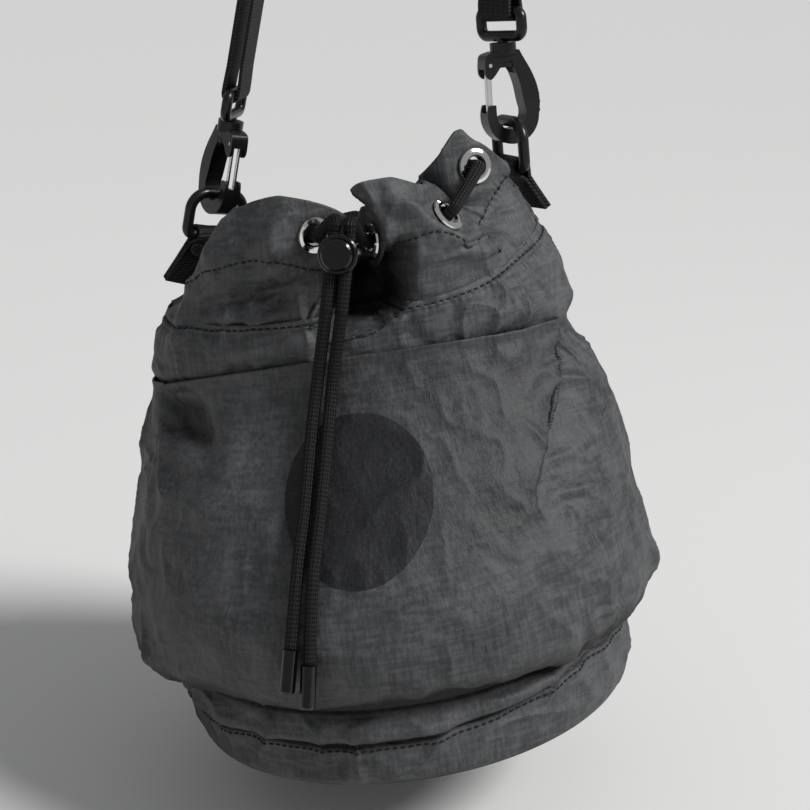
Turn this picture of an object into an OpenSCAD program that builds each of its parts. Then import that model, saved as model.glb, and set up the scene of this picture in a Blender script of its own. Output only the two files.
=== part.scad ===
// Drawstring bucket bag hung by its shoulder strap. Millimetres, +Z up.
// The origin is the point where the strap hangs over a peg.
// The bag itself is drawn upright, with its base at z = 0, and bag_pose() hangs it under the strap.

/* [Bag] */
// Radius of the round base
base_r = 100; // [84:1:120]
// Height of the band round the base
band_h = 34; // [26:1:44]
// How far the body blouses out past the base
blouse = 14; // [9:1:20]
// Height of the seam on top of the body panels
shoulder_z = 161; // [130:1:200]
// Radius at that seam
shoulder_r = 92; // [76:1:104]
// Height of the yoke above the body
yoke_h = 27; // [20:1:34]
// Radius at the seam between yoke and collar
seam_r = 83; // [70:1:96]
// Height of the collar at its front folds
collar_h = 50; // [40:1:60]
// How far the front of the body is drawn back at its top, as a part of its radius
front_flat = 0.34; // [0:0.02:0.4]
// Thickness of one sewn panel
cloth_t = 1.4; // [1:0.1:2]
// How far the hung bag tilts, right side up
bag_tilt = 8.5; // [0:0.5:12]

/* [Front pocket] */
// Half of the angle that the pocket spans
pocket_half = 98; // [80:1:110]
// Gap between the pocket and the body behind it
pocket_gap = 1.2; // [0.8:0.1:3]
// How far the pocket stands above the shoulder seam
pocket_rise = 3; // [2:0.5:8]

/* [Drawstring] */
// Diameter of the drawstring
cord_d = 5; // [4:0.5:5.5]
// Radius of the hole in an eyelet
eyelet_r = 4; // [3.5:0.1:4.5]
// Radius of an eyelet's flange
eyelet_flange_r = 7.4; // [6.6:0.1:8.5]
// Distance of the eyelets below the rim
eyelet_drop = 14.5; // [12:0.5:18]
// Length of a cord tip
tip_len = 17; // [14:1:22]
// Diameter of a cord tip
tip_d = 6.4; // [6:0.1:8]

/* [Cord lock] */
// Diameter of the cord lock's body
lock_d = 16; // [15:0.5:18]
// Length of its body
lock_len = 10; // [9:0.5:12]
// Travel of its button
button_travel = 2.4; // [1.5:0.1:2.6]

/* [Hardware] */
// Width of the webbing
web_w = 20; // [16:1:25]
// Thickness of the webbing
web_t = 1.4; // [1.2:0.1:1.8]
// Diameter of the ring's rod
ring_d = 4.8; // [4:0.1:5]
// Height between the ring's two bars
ring_h = 19.2; // [17:0.2:22]
// Thickness of the snap hook
hook_t = 8; // [7:0.1:9]
// Diameter of the gate wire
wire_d = 1.6; // [1.2:0.1:1.8]
// Diameter of the swivel eye's rod
eye_d = 4.6; // [4:0.1:5]

/* [Strap] */
// Height of the strap's top above the base of the hung bag
hang_h = 610; // [540:1:680]
// Radius of the peg that the strap hangs over
peg_r = 9; // [6:1:14]
// Height of the slider above the left swivel eye
slider_h = 120; // [90:1:150]
// Length of the free strap tail above the slider
tail_len = 74; // [66:1:90]

/* [Hidden] */
$fn = 48;

fit = 0.3;                    // clearance between pieces that touch
hole_fit = 0.2;               // radial clearance of a pin in its hole
seam_z = shoulder_z + yoke_h;
bulge_r = base_r + blouse;
eyelet_n = 10;
around = 96;                  // steps round a folded panel

// The rim of the gathered collar: [place on the cloth, angle from the front, radius, height above
// the seam], angles in degrees to the right. The cord gathers it at the eyelets, every 36 degrees
// of cloth from 18, and it folds out where the cord runs inside and in where it runs outside.
RIM = [[0, 30, 26, 36], [18, 27, 43, 39], [30, 17, 58, 48], [42, 27, 60, 51], [54, 46, 58, 43],
       [72, 60, 42, 41], [90, 67, 57, 57], [98, 76, 61, 61], [112, 91, 67, 46], [126, 102, 65, 35],
       [144, 116, 52, 28], [162, 131, 64, 24], [180, 155, 66, 22], [198, 172, 49, 20],
       [216, 184, 31, 17], [234, 205, 47, 17], [252, 225, 58, 15], [270, 247, 45, 14],
       [288, 264, 34, 20], [306, 293, 47, 35], [318, 325, 53, 46], [330, 349, 55, 50],
       [342, 371, 47, 43]];
RIM_R = 83;                   // the seam radius and collar height that the rim is written for
RIM_H = 50;

// ---- helpers ----
function unit(v) = v / norm(v);
function mix(a, b, f) = a + (b - a) * f;
function ring_at(a, r, z) = [r * sin(a), -r * cos(a), z];
function ease(f) = let (g = min(max(f, 0), 1)) g * g * (3 - 2 * g);
function bump(a, mid, wide) = let (d = ((a - mid + 540) % 360) - 180) exp(-d * d / (wide * wide));
function spline(a, b, c, d, f) =
    0.5 * (2 * b + (c - a) * f + (2 * a - 5 * b + 4 * c - d) * f * f
           + (3 * b - a - 3 * c + d) * f * f * f);
function smooth_open(p, n) = [for (i = [0:len(p) - 2], k = [0:n - 1])
    spline(p[max(i - 1, 0)], p[i], p[i + 1], p[min(i + 2, len(p) - 1)], k / n), p[len(p) - 1]];
function smooth_closed(p, n) = let (m = len(p)) [for (i = [0:m - 1], k = [0:n - 1])
    spline(p[(i + m - 1) % m], p[i], p[(i + 1) % m], p[(i + 2) % m], k / n)];

// Turns local axes so that z points along dir and x keeps the given yaw.
module aim(at, dir, yaw = 0) {
    translate(at)
        rotate([0, acos(dir[2] / norm(dir)), atan2(dir[1], dir[0])])
            rotate([0, 0, yaw - atan2(dir[1], dir[0])])
                children();
}

// ---- where the bag hangs ----
tab_a = 107;                  // angle of the webbing tabs from the front
tab_y = -seam_r * cos(tab_a);
hang = [5, -tab_y, -hang_h];  // the base's centre, seen from the strap's top
function posed(p) = [p[0] * cos(bag_tilt) - p[2] * sin(bag_tilt), p[1],
                     p[0] * sin(bag_tilt) + p[2] * cos(bag_tilt)] + hang;
module bag_pose() {
    translate(hang) rotate([0, -bag_tilt, 0]) children();
}

// ---- cloth surfaces ----
function rim_index(m, i = 0) = i == len(RIM) - 1 || RIM[i + 1][0] > m ? i : rim_index(m, i + 1);
function rim_knot(i) = let (k = RIM[(i + len(RIM)) % len(RIM)])
    ring_at(k[1], k[2] * seam_r / RIM_R, seam_z + k[3] * collar_h / RIM_H);
function rim(m) = let (i = rim_index(m), a = RIM[i][0], b = i == len(RIM) - 1 ? 360 : RIM[i + 1][0])
    spline(rim_knot(i - 1), rim_knot(i), rim_knot(i + 1), rim_knot(i + 2), (m - a) / (b - a));
// The front is drawn back towards the top, and the sides stay where they are.
slack_z = band_h + 34;
function drape(a, r, z) = let (k = ease((z - slack_z) / (shoulder_z - slack_z)), f = max(cos(a), 0))
    [r * sin(a), -r * cos(a) * (cos(a) > 0 ? 1 - front_flat * k : 1), z + k * (8 * f * f + 4 * sin(a))];
function dent(m) = 6 * bump(m, 10, 17) + 3 * bump(m, 66, 12) + 3 * bump(m, 288, 14);
function seam(m) = let (p = drape(m, seam_r - dent(m), shoulder_z))
    [p[0], p[1] * (p[1] < 0 ? 1.1 : 1), seam_z - 1 + 16 * bump(m, 96, 42)];
function wrap(m) = (m + 720) % 360;
function free_collar(m, t) = let (a = wrap(m))
    mix(rim(a), seam(a), t) + 3 * sin(180 * t) * [sin(a), -cos(a), 0];
// The cloth lies flat under each eyelet's flange.
function collar_at(m, t) = let (k = floor(wrap(m) / 36), e = EYES[k],
    far = norm([(wrap(m) - 18 - 36 * k) * PI / 180 * 0.8 * seam_r, (t - e[2]) * e[3]]),
    p = free_collar(m, t))
    p - 0.95 * (1 - ease((far - eyelet_flange_r - 6) / 7)) * ((p - e[0]) * e[1]) * e[1];
function shoulder(m) = drape(m, shoulder_r - 0.6 * cloth_t, shoulder_z);
function yoke_at(m, t) = let (a = wrap(m))
    mix(seam(a), shoulder(a), t) + 2.5 * sin(180 * t) * [sin(a), -cos(a), 0];
function normal_of(kind, m, t) = let (d = 1.5, e = 0.02,
    at = function (p, q) kind == "free" ? free_collar(p, q)
                         : kind == "collar" ? collar_at(p, q) : yoke_at(p, q))
    unit(cross(at(m + d, t) - at(m - d, t), at(m, min(t, 0.98)) - at(m, min(t, 0.98) + e)));
// Each eyelet's centre and normal, its place on the panel and the panel's length there.
EYES = [for (k = [0:eyelet_n - 1]) let (m = 18 + 36 * k, long = norm(rim(m) - seam(m)),
    t = eyelet_drop / long) [free_collar(m, t), normal_of("free", m, t), t, long]];

// A closed sheet between two heights of a folded panel.
module folded(kind, t0, t1, rows, thick) {
    function at(p, q) = kind == "collar" ? collar_at(p, q) : yoke_at(p, q);
    n = around;
    skin = [for (side = [0.5, -0.5], j = [0:rows], i = [0:n - 1])
        let (m = 360 * i / n, t = mix(t0, t1, j / rows))
        at(m, t) + side * thick * normal_of(kind, m, t)];
    back = n * (rows + 1);
    faces = concat(
        [for (j = [0:rows - 1], i = [0:n - 1]) let (a = j * n + i, b = j * n + (i + 1) % n)
            each [[a, b, b + n], [a, b + n, a + n]]],
        [for (j = [0:rows - 1], i = [0:n - 1]) let (a = back + j * n + i, b = back + j * n + (i + 1) % n)
            each [[a, b + n, b], [a, a + n, b + n]]],
        [for (i = [0:n - 1]) let (b = (i + 1) % n) each [[i, back + i, back + b], [i, back + b, b]]],
        [for (i = [0:n - 1]) let (a = rows * n + i, b = rows * n + (i + 1) % n)
            each [[a, b, back + b], [a, back + b, back + a]]]);
    polyhedron(skin, faces, convexity = 8);
}

// Outline of the body in [radius, height]: tucked in above the band, then blousing out over it.
body_low = band_h + fit;
lip_z = band_h + 10;
belly_z = band_h + 24;
BODY = concat(
    [[base_r - 0.9, body_low], [base_r - 0.6, band_h + 5], [base_r + 3, lip_z - 1.5],
     [bulge_r - 7, lip_z], [bulge_r - 2, lip_z + 4.5]],
    [for (i = [0:8]) let (s = i / 8)
        [shoulder_r + (bulge_r - shoulder_r) * cos(90 * s), mix(belly_z, shoulder_z - fit, s)]]);
function side(p, i) = let (a = p[max(i - 1, 0)], b = p[min(i + 1, len(p) - 1)], d = unit(b - a)) [d[1], -d[0]];
// A closed sheet between two offsets of an outline, from angle m0 to m1, draped as the body is.
module panel(outline, near, far, m0, m1, n) {
    rows = len(outline);
    cols = n + 1;
    skin = [for (off = [far, near], j = [0:rows - 1], i = [0:n])
        let (q = outline[j] + off * side(outline, j)) drape(mix(m0, m1, i / n), q[0], q[1])];
    back = cols * rows;
    top = cols * (rows - 1);
    faces = concat(
        [for (j = [0:rows - 2], i = [0:n - 1]) let (a = j * cols + i)
            each [[a, a + cols + 1, a + 1], [a, a + cols, a + cols + 1]]],
        [for (j = [0:rows - 2], i = [0:n - 1]) let (a = back + j * cols + i)
            each [[a, a + 1, a + cols + 1], [a, a + cols + 1, a + cols]]],
        [for (j = [0:rows - 2]) let (o = j * cols, i = back + o)
            each [[i, i + cols, o + cols], [i, o + cols, o]]],
        [for (j = [0:rows - 2]) let (o = j * cols + n, i = back + o)
            each [[o, o + cols, i + cols], [o, i + cols, i]]],
        [for (i = [0:n - 1]) each [[i, back + i + 1, back + i], [i, i + 1, back + i + 1]]],
        [for (i = [top:top + n - 1]) each [[i, back + i, back + i + 1], [i, back + i + 1, i + 1]]]);
    polyhedron(skin, faces, convexity = 8);
}

module base_panel() {
    color("#3f4144") bag_pose() cylinder(h = cloth_t, r = base_r - cloth_t - fit, $fn = 96);
}
module base_stiffener() {
    color("#26272a") bag_pose() translate([0, 0, cloth_t + fit])
        cylinder(h = 2, r = base_r - cloth_t - 3, $fn = 96);
}
module base_band() {
    color("#46484b") bag_pose() rotate_extrude($fn = 96)
        polygon([[base_r - cloth_t, 0], [base_r - 1, 0], [base_r, 2], [base_r, band_h],
                 [base_r - cloth_t, band_h]]);
}
side_half = 100;              // half of the angle that the front body panel spans
module body_front() {
    color("#46484b") bag_pose() panel(BODY, -cloth_t, 0, -side_half, side_half, 50);
}
module body_back() {
    color("#4a4c4f") bag_pose() panel(BODY, -cloth_t, 0, side_half + 0.15, 360 - side_half - 0.15, 40);
}
POCKET = concat([for (i = [2:len(BODY) - 1]) BODY[i]],
                [[shoulder_r - pocket_rise * (shoulder_r - seam_r) / yoke_h + 2.4,
                  shoulder_z + pocket_rise]]);
module front_pocket() {
    color("#505255") bag_pose()
        panel(POCKET, pocket_gap, pocket_gap + cloth_t, -pocket_half, pocket_half, 50);
}
module yoke() {
    color("#4c4e51") bag_pose() folded("yoke", 0.015, 0.99, 3, cloth_t);
}
function eyelet_c(k) = EYES[k][0];
function eyelet_n_of(k) = EYES[k][1];
barrel_t = 0.7;               // wall of an eyelet's barrel
module collar() {
    color("#4c4e51") bag_pose() difference() {
        folded("collar", 0, 0.99, 8, cloth_t);
        for (k = [0:eyelet_n - 1])
            aim(eyelet_c(k), eyelet_n_of(k))
                cylinder(h = 8, r = eyelet_r + barrel_t + 0.3, center = true, $fn = 24);
    }
}

// ---- eyelets ----
flange_t = 1.1;
seat = cloth_t / 2 + fit;     // distance from the cloth's middle to a flange
module eyelets() {
    color("silver") bag_pose() for (k = [0:eyelet_n - 1])
        aim(eyelet_c(k), eyelet_n_of(k)) rotate_extrude($fn = 48)
            polygon([[eyelet_r, -seat - flange_t], [eyelet_r + barrel_t, -seat - flange_t],
                     [eyelet_r + barrel_t, seat], [eyelet_flange_r, seat],
                     [eyelet_flange_r - 0.3, seat + 0.7 * flange_t],
                     [eyelet_flange_r - 1.6, seat + flange_t], [eyelet_r + 0.6, seat + flange_t],
                     [eyelet_r, seat + 0.5 * flange_t]]);
}
module eyelet_washers() {
    color("darkgray") bag_pose() for (k = [0:eyelet_n - 1])
        aim(eyelet_c(k), eyelet_n_of(k)) rotate_extrude($fn = 48)
            polygon([[eyelet_r + barrel_t + 0.05, -seat - 0.8], [eyelet_flange_r - 0.5, -seat - 0.8],
                     [eyelet_flange_r - 0.2, -seat], [eyelet_r + barrel_t + 0.05, -seat]]);
}

// ---- cords ----
// A tube along points, with its first and last ring closed.
module tube(path, d, sides = 8) {
    n = len(path);
    tangents = [for (i = [0:n - 1]) unit(path[min(i + 1, n - 1)] - path[max(i - 1, 0)])];
    function frames(i = 0, acc = []) = i == n ? acc :
        let (prev = i == 0 ? [0.3, 0.9, 0.2] : acc[i - 1],
             u = unit(prev - (prev * tangents[i]) * tangents[i])) frames(i + 1, concat(acc, [u]));
    us = frames();
    pts = [for (i = [0:n - 1], k = [0:sides - 1])
        path[i] + d / 2 * (cos(360 * k / sides) * us[i]
                           + sin(360 * k / sides) * cross(tangents[i], us[i]))];
    polyhedron(pts, concat(
        [[for (k = [0:sides - 1]) k]],
        [for (i = [0:n - 2], k = [0:sides - 1]) let (a = i * sides + k, b = i * sides + (k + 1) % sides)
            each [[a, b + sides, b], [a, a + sides, b + sides]]],
        [[for (k = [sides - 1:-1:0]) (n - 1) * sides + k]]), convexity = 12);
}

// The cord lock sits in front of the front fold. Its button points forwards and up, and the two
// cords pass through it side by side.
lock_at = [12, -seam_r + 16, seam_z + 26];
lock_way = unit([-9, -5, -37]);
lock_axis = unit([0, -1, 0] + lock_way[1] * lock_way);
lock_x = cross(-lock_way, lock_axis);
cord_gap = 3.1;               // half of the distance between the two cords
lock_in = lock_d / 2 + 1;     // half of the cord's straight run through the lock
function lock_point(s, run) = lock_at + s * cord_gap * lock_x + run * lock_way;

// Beside an eyelet the cord stands this far off the cloth, and then turns along it.
through = 3.4;
turned = 6.2;
function pass(k, s) = eyelet_c(k) + s * through * eyelet_n_of(k);
function past(k, s, next) = let (c = eyelet_c(k), n = eyelet_n_of(k), d = next - c)
    c + s * turned * n + 3 * unit(d - (d * n) * n);
function neighbour(k, s) = let (way = s * (k % 2 == 0 ? -1 : 1), i = k + way)
    i < 0 ? lock_point(1, -lock_in - 4) : i >= eyelet_n ? lock_point(-1, -lock_in - 4) : eyelet_c(i);
// From the lock's right side in through the first eyelet, round the collar and back to its left side.
HELD = concat(
    [lock_point(1, -lock_in), lock_point(1, -lock_in - 4)],
    [for (k = [0:eyelet_n - 1]) let (s = k % 2 == 0 ? 1 : -1)
        each [past(k, s, neighbour(k, s)), pass(k, s), pass(k, -s), past(k, -s, neighbour(k, -s))]],
    [lock_point(-1, -lock_in - 4), lock_point(-1, -lock_in)]);
module drawstring() {
    color("#151515") bag_pose() tube(smooth_open(HELD, 2), cord_d);
}

// The two free ends hang from the lock over the pocket's edge and down the front, as [x, z] in the
// upright bag, where a plumb line leans to the left as it falls. They lie just off the pocket.
LEFT_END = [[-4.6, 0.97], [-8.6, 0.83], [-12, 0.66], [-14.5, 0.56], [-17, 0.45], [-20.8, 0.3]];
RIGHT_END = [[1.8, 0.97], [-1.8, 0.83], [-5.4, 0.66], [-7.8, 0.56], [-10.2, 0.45], [-14.2, 0.25]];
function front_r(z) = z < belly_z ? bulge_r : let (s = (z - belly_z) / (shoulder_z - belly_z))
    shoulder_r + (bulge_r - shoulder_r) * cos(90 * s);
function on_front(x, f) = let (z = mix(band_h, shoulder_z, f),
    p = drape(asin(x / bulge_r), front_r(z), z)) [x, p[1] - pocket_gap - cloth_t - cord_d / 2 - 2, p[2]];
lock_run = 24;                // straight run of the cords under the lock, along which it slides
function end_route(s, pts) = concat([for (r = [0.8 - lock_in, 0, lock_in, lock_run]) lock_point(s, r)],
    [for (p = pts) on_front(p[0], p[1])]);
module cord_end(s, pts) {
    color("#151515") bag_pose() tube(smooth_open(end_route(s, pts), 4), cord_d);
}
module cord_tip(pts) {
    n = len(pts);
    foot = on_front(pts[n - 1][0], pts[n - 1][1]);
    way = unit(foot - on_front(pts[n - 2][0], pts[n - 2][1]));
    wall = (tip_d - cord_d) / 2;
    color("#0c0c0c") bag_pose() aim(foot + way * fit, way) {
        cylinder(h = tip_len - 1, d = tip_d, $fn = 32);
        translate([0, 0, tip_len - 1]) cylinder(h = 1, d1 = tip_d, d2 = tip_d - 2 * wall, $fn = 32);
    }
}

// ---- cord lock ----
lock_wall = 1.5;
plunger_r = lock_d / 2 - lock_wall - hole_fit;
button_rise = button_travel + 1;
cord_hole_r = cord_d / 2 + hole_fit;
module lock_frame() {
    cols = [lock_x, -lock_way, lock_axis, lock_at];
    bag_pose() multmatrix([for (r = [0:2]) [for (c = cols) c[r]]]) translate([0, 0, -lock_len / 2])
        children();
}
module cord_holes() {
    for (s = [-1, 1]) translate([s * cord_gap, 0, lock_len / 2])
        rotate([90, 0, 0]) cylinder(h = 2 * lock_d, r = cord_hole_r, center = true, $fn = 32);
}
module cord_lock_body() {
    color("#101010") lock_frame() difference() {
        rotate_extrude() polygon([[0, -1.6], [lock_d / 2 - 2.5, -1.6], [lock_d / 2, 0.4],
                                  [lock_d / 2, lock_len - 0.6], [lock_d / 2 - 0.6, lock_len],
                                  [0, lock_len]]);
        cylinder(h = lock_len + 1, r = lock_d / 2 - lock_wall);
        cord_holes();
    }
}
spring_z = 2.2;               // height of the spring in the lock
module cord_lock_button() {
    slot_w = 2 * (cord_gap + cord_hole_r) + 0.2;
    color("#181818") lock_frame() difference() {
        union() {
            translate([0, 0, spring_z + 0.2 + button_travel])
                cylinder(h = lock_len + button_rise - spring_z - 0.2 - button_travel - 0.8, r = plunger_r);
            translate([0, 0, lock_len + button_rise - 0.8])
                cylinder(h = 0.8, r1 = plunger_r, r2 = plunger_r - 0.8);
        }
        translate([-slot_w / 2, -lock_d, 0])
            cube([slot_w, 2 * lock_d, lock_len / 2 + cord_hole_r + button_travel + 0.2]);
    }
}
module cord_lock_spring() {
    color("silver") lock_frame() for (i = [0:2])
        translate([0, 0, 0.45 + 0.75 * i]) rotate_extrude($fn = 32)
            translate([plunger_r - 1, 0]) circle(d = 0.7, $fn = 16);
}

// ---- rings, hooks and swivels ----
// Each side has one line from the ring's lower bar, through hook and swivel, to the peg.
peg = [0, 0, -peg_r];
leg_in = peg_r + web_t / 2;   // the strap's middle runs this far from the peg's centre
function bar(s) = posed(s > 0 ? [seam_r - 9, tab_y - 3, seam_z + 39] : [19.5 - seam_r, tab_y - 3, seam_z + 25]);
function turn(s) = s > 0 ? 30 : 133;      // yaw of ring and hook
function eye_turn(s) = s > 0 ? 45 : 0;    // yaw of the swivel eye
function leg(s) = let (d = peg + [s * leg_in, 0, 0] - bar(s)) unit([d[0], -bar(s)[1], d[2]]);
module on_leg(s, yaw, h = 0) {
    aim(bar(s) + leg(s) * h, leg(s), yaw) children();
}
rod_gap = web_w + 1.6;          // free width inside a ring or an eye
module rod_ring(d, w, h, low_r, top_r) {
    // A closed ring of rod in the local YZ plane: bars at z = 0 and z = h, w apart at the sides.
    // Upright sides.
    for (s = [-1, 1]) translate([0, s * w / 2, low_r]) cylinder(h = h - low_r - top_r, d = d);
    for (c = [[0, low_r, 1], [h, top_r, -1]]) {
        translate([0, -w / 2 + c[1], c[0]]) rotate([-90, 0, 0]) cylinder(h = w - 2 * c[1], d = d);
        for (s = [-1, 1]) translate([0, s * (w / 2 - c[1]), c[0] + c[2] * c[1]])
            rotate([0, 90, 0]) rotate([0, 0, s > 0 ? (c[2] > 0 ? 0 : 90) : (c[2] > 0 ? 270 : 180)])
                rotate_extrude(angle = 90) translate([c[1], 0]) circle(d = d, $fn = 24);
    }
}
module ring(s) {
    color("#141414") on_leg(s, turn(s)) rod_ring(ring_d, rod_gap + ring_d, ring_h, 3.2, 8);
}

// The snap hook in its own XZ plane: the ring's upper bar is at the origin, the spine is at +X,
// and the gate closes the side at -X.
seat_gap = 0.9;               // play of the ring's bar in the bend
bend_r = 6.9;
bend_z = bend_r - ring_d / 2 - seat_gap;
HOOK_OUT = [[4.5, -9], [9, -6.1], [12, -1], [13.5, 6], [13, 13], [10.6, 20], [7.4, 26], [5.6, 29.6],
            [-5.6, 29.6], [-9.6, 28.4], [-10.6, 25], [-10.6, 20.4], [-8.4, 18.4], [-5.8, 20.4],
            [-3.2, 23.2], [0, 23.6], [2.6, 21.6], [4.8, 15.6], [5.9, 9]];
module hook_outline() {
    difference() {
        union() {
            polygon(concat(smooth_open([for (i = [0:7]) HOOK_OUT[i]], 4),
                           smooth_open([for (i = [8:18]) HOOK_OUT[i]], 4), [[bend_r, bend_z], [0, -6]]));
            difference() {
                translate([0.8, 2.4]) circle(r = 12, $fn = 72);
                translate([-20, bend_z + 4]) square([20, 30]);
                translate([0, bend_z]) square([7, 30]);
            }
        }
        translate([0, bend_z]) circle(r = bend_r, $fn = 64);
        translate([-bend_r, bend_z]) square([bend_r, 10]);
    }
}
shank_r = eye_d / 2;
boss_r = 5.6;
boss_top = 33;
gate_at = [-8, 24.2];         // the gate's pivot
gate_foot = [-8.5, 3.4];      // the middle of its closed end
wires = 3.4;                  // distance between the gate's two wires
module hook(s) {
    color("#161616") on_leg(s, turn(s), ring_h) difference() {
        union() {
            rotate([90, 0, 0]) linear_extrude(hook_t, center = true) hook_outline();
            translate([0, 0, 28]) cylinder(h = boss_top - 28, r = boss_r);
            for (i = [0:4]) translate([13.1 - 0.28 * (i - 1) * (i - 1), 0, 3.4 + 3.5 * i])
                rotate([90, 0, 0]) cylinder(h = hook_t - 1.4, d = 2, center = true, $fn = 20);
        }
        cylinder(h = 60, r = shank_r + hole_fit);
        // Pocket for the swivel's rivet head.
        translate([0, 0, 20]) cylinder(h = 5, r = shank_r + 2 + hole_fit);
        // Pivot holes and slots for the wire gate.
        translate([gate_at[0], 0, gate_at[1]]) rotate([90, 0, 0])
            cylinder(h = 20, r = wire_d / 2 + 0.1, center = true, $fn = 20);
        translate([-11, -wires / 2 - wire_d / 2 - 0.3, 0.6])
            cube([6, wires + wire_d + 0.6, 22.2]);
        for (y = [-1, 1]) translate([gate_at[0] - wire_d / 2 - 0.3, y * (wires / 2) - wire_d / 2 - 0.3, 16])
            cube([7, wire_d + 0.6, 9.4]);
    }
}
module gate(s) {
    drop = gate_at - gate_foot;
    lean = atan2(drop[0], drop[1]);
    long = norm(drop);
    color("silver") on_leg(s, turn(s), ring_h) translate([gate_at[0], 0, gate_at[1]])
        rotate([0, 180 + lean, 0]) {
            for (y = [-1, 1]) {
                translate([0, y * wires / 2, 0]) cylinder(h = long - wires / 2, d = wire_d, $fn = 20);
                translate([0, y * wires / 2, 0]) rotate([y * -90, 0, 0])
                    cylinder(h = hook_t / 2 - wires / 2 - 0.2, d = wire_d, $fn = 20);
            }
            translate([0, 0, long - wires / 2]) rotate([0, -90, 0]) rotate([0, 0, -90])
                rotate_extrude(angle = 180) translate([wires / 2, 0]) circle(d = wire_d, $fn = 20);
        }
}
eye_low = boss_top + fit + eye_d / 2;     // the eye's lower bar, above the ring's upper bar
eye_h = 10;                               // height between its bars
module swivel_eye(s) {
    color("#161616") on_leg(s, eye_turn(s), ring_h) {
        translate([0, 0, eye_low]) rod_ring(eye_d, rod_gap + eye_d, eye_h, 3.5, 2.9);
        translate([0, 0, 24.6]) cylinder(h = eye_low - 24.6, r = shank_r);
        translate([0, 0, 22.8]) cylinder(h = 2, r = shank_r + 1.9);
    }
}

// ---- webbing ----
// A flat strap along points: across gives the direction of its width at each point.
module webbing(path, across, w, t) {
    n = len(path);
    pts = [for (i = [0:n - 1]) let (
        way = unit(path[min(i + 1, n - 1)] - path[max(i - 1, 0)]),
        wide = unit(across[i] - (across[i] * way) * way),
        up = cross(way, wide))
        each [path[i] + wide * w / 2 + up * t / 2, path[i] - wide * w / 2 + up * t / 2,
              path[i] - wide * w / 2 - up * t / 2, path[i] + wide * w / 2 - up * t / 2]];
    polyhedron(pts, concat(
        [[0, 1, 2], [0, 2, 3]],
        [for (i = [0:n - 2], k = [0:3]) let (a = 4 * i + k, b = 4 * i + (k + 1) % 4)
            each [[a, a + 4, b + 4], [a, b + 4, b]]],
        [[4 * n - 4, 4 * n - 2, 4 * n - 3], [4 * n - 4, 4 * n - 1, 4 * n - 2]]), convexity = 12);
}
// The direction of a bar on a leg, level before the leg leans.
function flat_way(a) = [-sin(a), cos(a), 0];
function bar_way(s, a) = let (d = leg(s), v = flat_way(a), w = [-d[1], d[0], 0], q = cross(w, v))
    v + q + cross(w, q) / (1 + d[2]);
// Direction across the bar and the leg, for a loop of webbing round a bar.
function loop_side(s, a) = unit(cross(bar_way(s, a), leg(s)));
eye_bar_h = ring_h + eye_low + eye_h;
wrap_r = eye_d / 2 + fit + web_t / 2;
ply = (web_t + fit) / 2;      // half of the distance between two plies that lie together
function eye_bar(s) = bar(s) + leg(s) * eye_bar_h;
function by_leg(s, a, off, h) = eye_bar(s) + loop_side(s, a) * off + leg(s) * h;
function wrap_under(s, a) = [for (i = [0:6]) by_leg(s, a, -wrap_r * cos(30 * i), -wrap_r * sin(30 * i))];
arc_left = atan2(leg(-1)[2], leg(-1)[0]);
arc_right = atan2(leg(1)[2], leg(1)[0]);
PEG_ARC = [for (i = [0:8]) let (a = mix(arc_right - 90, arc_left + 90, i / 8))
    peg + leg_in * [cos(a), 0, sin(a)]];
twist = [for (i = [0:6]) i / 6];
slot_a = 2.9;                 // the working ply's distance from the slider's middle bar
tail_top = slider_h + tail_len;
right_h = (peg[2] - eye_bar(1)[2]) / leg(1)[2];
left_h = (peg[2] - eye_bar(-1)[2]) / leg(-1)[2];
STRAP_R = concat(
    [for (h = [34, 24, 14]) by_leg(1, eye_turn(1), -ply, h)], [by_leg(1, eye_turn(1), -wrap_r * 0.9, 4)],
    wrap_under(1, eye_turn(1)), [by_leg(1, eye_turn(1), wrap_r * 0.9, 4)],
    [for (f = twist) by_leg(1, mix(eye_turn(1), 0, f), ply, mix(14, right_h - 14, f))]);
ACROSS_R = concat([for (i = [0:11]) bar_way(1, eye_turn(1))],
    [for (f = twist) bar_way(1, mix(eye_turn(1), 0, f))]);
STRAP_L = concat(
    [for (h = [left_h - 14, tail_top + 12]) by_leg(-1, 0, slot_a * (h > tail_top + 20 ? 0 : 1), h)],
    [for (h = [tail_top, slider_h + 20, slider_h, slider_h - 20, 24, 12]) by_leg(-1, 0, slot_a, h)],
    [by_leg(-1, 0, wrap_r * 0.98, 4)],
    [for (i = [6:-1:0]) wrap_under(-1, 0)[i]], [by_leg(-1, 0, -wrap_r * 0.98, 4)],
    [for (h = [12, 24, slider_h - 20, slider_h, slider_h + 20, tail_top]) by_leg(-1, 0, -slot_a, h)]);
module strap() {
    path = concat(STRAP_R, PEG_ARC, STRAP_L);
    across = concat(ACROSS_R, [for (i = [0:len(PEG_ARC) + len(STRAP_L) - 1]) [0, 1, 0]]);
    color("#17181a") webbing(path, across, web_w, web_t);
}
rail = 2.6;                   // width of the slider's rails
slider_bow = 6.2;             // distance of the outer bars in front of the middle bar
slider_half = 9;
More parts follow.
